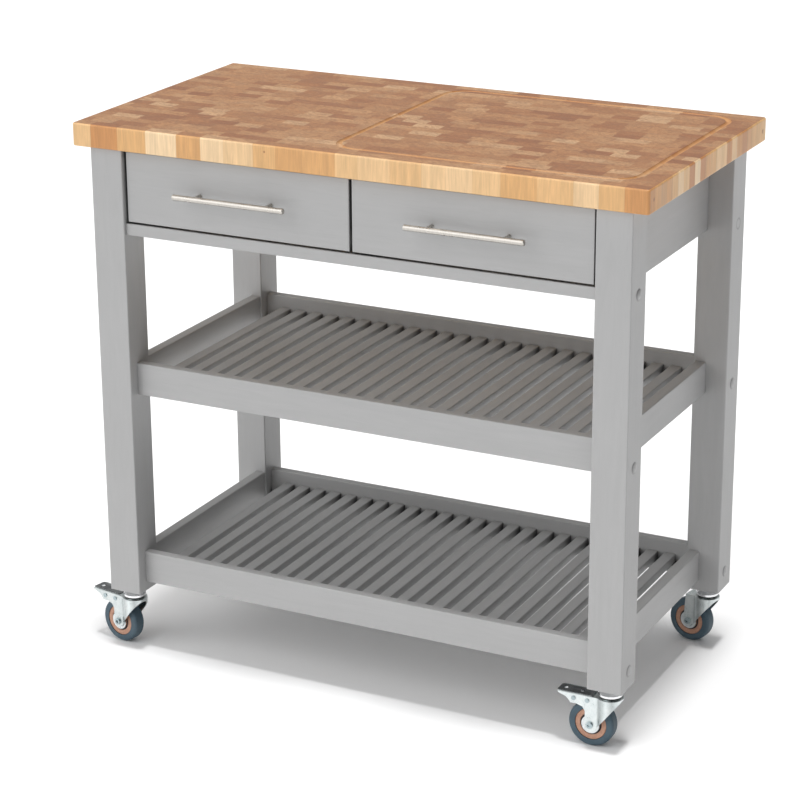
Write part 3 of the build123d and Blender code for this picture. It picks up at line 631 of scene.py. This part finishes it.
def shade_ring_profile(side):
    """The ring's rounded section as (radius, offset) points, on one side of the wheel."""
    profile = []
    for i in range(SHADE_RING_POINTS):
        turn = 2 * math.pi * i / SHADE_RING_POINTS
        radius = SHADE_RING_R + SHADE_RING_DEEP * math.cos(turn)
        offset = side * SHADE_RING_OFFSET + SHADE_RING_WIDE * math.sin(turn)
        profile.append((radius, offset))
    return profile


def painted_shade_rings(name, material):
    """Two soft black rings of painted shade in the wheel's grooves, round the thread guards."""
    centre, axis = wheel_axis(name)
    mesh = bmesh.new()
    for side in (-1, 1):
        turned_ring(mesh, shade_ring_profile(side), centre, axis, SHADE_RING_STEPS)
    bmesh.ops.recalc_face_normals(mesh, faces=mesh.faces)
    for face in mesh.faces:
        face.smooth = True
    rings = mesh_object(f"painted_shade_rings_{name}", mesh, material)
    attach(rings, f"wheel_{name}")


# ------------------------------------------------------------------ dress the nodes


def dress(node, material):
    """Gives a CAD node its material."""
    NODES[node].data.materials.clear()
    NODES[node].data.materials.append(material)


def longest_axis(node):
    """The row axis that a board's grain follows."""
    low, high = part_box(node)
    sizes = [high[i] - low[i] for i in range(3)]
    return "xyz"[sizes.index(max(sizes))]


def dress_frame(paint, zinc, plate):
    """The worktop, the painted boards and the frame's hardware."""
    for node in BODIES["frame"]:
        dress(node, paint[longest_axis(node)])
    for level in ("lower", "upper"):
        dress(f"{level}_shelf_slats", paint["y"])
    dress("worktop", butcher_block())
    dress("cabinet_glides", zinc)
    dress("frame_bolts", plate)
    dress("top_brackets", zinc)
    dress("caster_stems", chrome())


def dress_drawers(paint, zinc, plate):
    """Painted fronts on pale boxes, with nickel pulls."""
    ply = {axis: plywood(axis) for axis in "xy"}
    nickel = brushed_nickel()
    looks = {
        "front": paint["x"],
        "inner_side": ply["y"],
        "outer_side": ply["y"],
        "back": ply["x"],
        "bottom": ply["x"],
        "glides": zinc,
        "handle": nickel,
        "handle_screws": plate,
    }
    for side in ("left", "right"):
        for piece, material in looks.items():
            dress(f"drawer_{side}_{piece}", material)


def dress_casters(zinc):
    """Zinc forks, terracotta wheel centres and slate tyres; the front pair has pedals."""
    hub = hub_plastic()
    rubber = tyre_rubber()
    black = shade_ring_black()
    pedal = pedal_plate()
    for name in CASTERS:
        dress(f"fork_{name}", zinc)
        dress(f"axle_set_{name}", axle_plate(name))
        dress(f"hub_{name}", hub)
        dress(f"tyre_{name}", rubber)
        # black rings of painted shade, laid in the hub's recessed grooves
        painted_shade_rings(name, black)
        if f"brake_pedal_{name}" in NODES:
            dress(f"brake_pedal_{name}", pedal)


def dress_all():
    """Gives every CAD node its material, and adds the black rings of painted shade in the hubs'
    grooves.
    """
    paint = {axis: painted_wood(axis) for axis in "xyz"}
    zinc = zinc_plate()
    plate = polished_plate()
    dress_frame(paint, zinc, plate)
    dress_drawers(paint, zinc, plate)
    dress_casters(zinc)


# ------------------------------------------------------------------ stage


def floor():
    """A wide floor under the casters."""
    mesh = bmesh.new()
    bmesh.ops.create_grid(mesh, x_segments=1, y_segments=1, size=FLOOR_HALF)
    mesh_object("studio_floor", mesh, studio_floor())


def from_origin(azimuth, elevation):
    """The unit direction of a point; azimuth 0 is in front and 90 on the right."""
    a = math.radians(azimuth)
    e = math.radians(elevation)
    return Vector((math.sin(a) * math.cos(e), -math.cos(a) * math.cos(e), math.sin(e)))


def sun(name, azimuth, elevation, strength, angle):
    """A distant light, as soft as its angle is wide."""
    data = bpy.data.lights.new(name, "SUN")
    data.energy = strength
    data.angle = math.radians(angle)
    obj = place_in_scene(name, data)
    obj.rotation_euler = from_origin(azimuth, elevation).to_track_quat("Z", "Y").to_euler()


def world():
    """A white surround, dimmer towards the horizon and towards the right."""
    surround = bpy.data.worlds.new("studio")
    surround.use_nodes = True
    n = Nodes(surround.node_tree)
    x, _, z = n.split(n.add("ShaderNodeTexCoord").outputs["Generated"])
    rise = n.remap(z, 0.0, SKY_FULL_HEIGHT, SKY_HORIZON, SKY_OVERHEAD)
    sideways = n.remap(x, -1.0, 1.0, SKY_LEFT, SKY_RIGHT)
    background = surround.node_tree.nodes["Background"]
    background.inputs["Color"].default_value = (1.0, 1.0, 1.0, 1.0)
    n.feed(background.inputs["Strength"], n.math("MULTIPLY", rise, sideways))
    bpy.context.scene.world = surround


def camera():
    """The viewpoint: in front, to the right and above, with a slight roll."""
    back = from_origin(CAMERA_AZIMUTH, CAMERA_ELEVATION)
    turned = math.radians(CAMERA_AZIMUTH)
    level = Vector((math.cos(turned), math.sin(turned), 0.0))
    roll = math.radians(CAMERA_ROLL)
    right = level * math.cos(roll) + back.cross(level) * math.sin(roll)
    data = bpy.data.cameras.new("camera")
    data.lens = CAMERA_LENS
    data.sensor_width = CAMERA_SENSOR
    data.shift_x, data.shift_y = CAMERA_SHIFT
    obj = place_in_scene("camera", data)
    turn = Matrix((right, back.cross(right), back)).transposed()
    obj.matrix_world = Matrix.Translation(CAMERA_AT) @ turn.to_4x4()
    bpy.context.scene.camera = obj


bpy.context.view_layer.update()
dress_all()
floor()
world()
sun("key", **KEY_SUN)
sun("fill", **FILL_SUN)
camera()
bpy.context.scene.view_settings.view_transform = "Standard"
